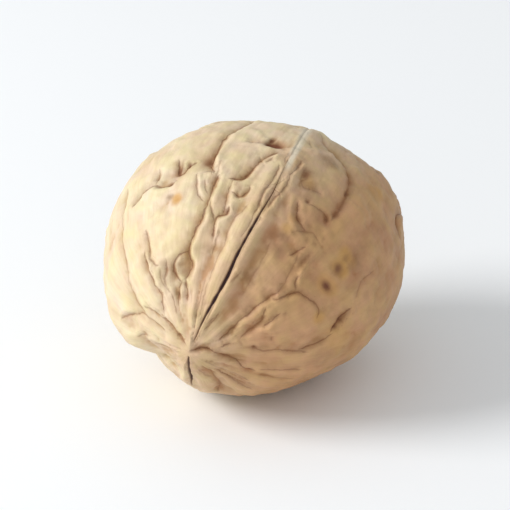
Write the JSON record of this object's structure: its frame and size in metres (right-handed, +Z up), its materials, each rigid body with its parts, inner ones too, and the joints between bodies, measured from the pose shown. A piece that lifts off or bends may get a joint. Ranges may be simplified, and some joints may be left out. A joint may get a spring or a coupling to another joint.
{
  "type": "walnut",
  "caption": "Whole walnut in its closed, furrowed shell, lying on its side on a small flat resting spot.",
  "frame": {"origin": "centre of the small flat spot that the nut rests on", "axes": "+Z up, the nut's length along Y with its tip towards -Y and dipping, one cheek towards +X"},
  "size_m": [0.0361, 0.0396, 0.032],
  "materials": {
    "walnut_shell": "dry, matt, tan to cream woody shell, darker brown in its furrows"
  },
  "bodies": {
    "root": {"walnut": "walnut_shell"}
  },
  "joints": []
}
